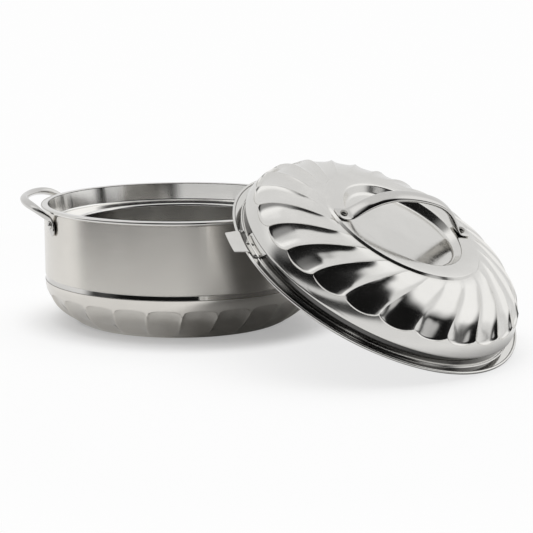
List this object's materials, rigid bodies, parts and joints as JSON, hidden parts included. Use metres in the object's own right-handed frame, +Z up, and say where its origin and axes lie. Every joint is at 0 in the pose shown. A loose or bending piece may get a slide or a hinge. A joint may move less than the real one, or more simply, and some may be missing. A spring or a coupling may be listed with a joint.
{
  "type": "insulated casserole",
  "caption": "Round double-walled steel serving casserole with loop handles, a fluted lower bowl, an inner well and a domed fluted lid with a strap handle, leaning on one handle.",
  "frame": {"origin": "centre of the pot's flat base, on the surface it stands on", "axes": "+Z up, +X towards the handle that the lid leans on, -Y towards the side the lid's lower edge stands on"},
  "size_m": [0.5281, 0.4756, 0.1869],
  "materials": {
    "satin_steel": "satin",
    "pressed_steel": "polished",
    "polished_steel": "polished",
    "rivet_steel": "polished",
    "insulation_foam": "matte"
  },
  "bodies": {
    "pot": {"outer_wall": "satin_steel", "accent_band": "polished_steel", "fluted_bowl": "pressed_steel", "base_plate": "satin_steel", "rim_ring": "polished_steel", "inner_liner": "polished_steel", "pot_insulation": "insulation_foam", "right_handle": "polished_steel", "right_handle_rivet_front": "rivet_steel", "right_handle_rivet_back": "rivet_steel", "left_handle": "polished_steel", "left_handle_rivet_front": "rivet_steel", "left_handle_rivet_back": "rivet_steel"},
    "lid": {"lid_dome": "pressed_steel", "lid_flange": "polished_steel", "lid_inner_plate": "satin_steel", "lid_insulation": "insulation_foam", "lid_handle": "polished_steel", "lid_handle_rivet_near": "rivet_steel", "lid_handle_rivet_far": "rivet_steel", "lid_bracket_near": "polished_steel", "lid_bracket_near_rivet_a": "rivet_steel", "lid_bracket_near_rivet_b": "rivet_steel", "lid_bracket_near_rivet_c": "rivet_steel", "lid_bracket_far": "polished_steel", "lid_bracket_far_rivet_a": "rivet_steel", "lid_bracket_far_rivet_b": "rivet_steel", "lid_bracket_far_rivet_c": "rivet_steel"}
  },
  "joints": [
    {"name": "lid_lift", "type": "slide", "parent": "pot", "child": "lid", "axis": [0, 0, 1], "range_m": [0, 0.18]}
  ]
}
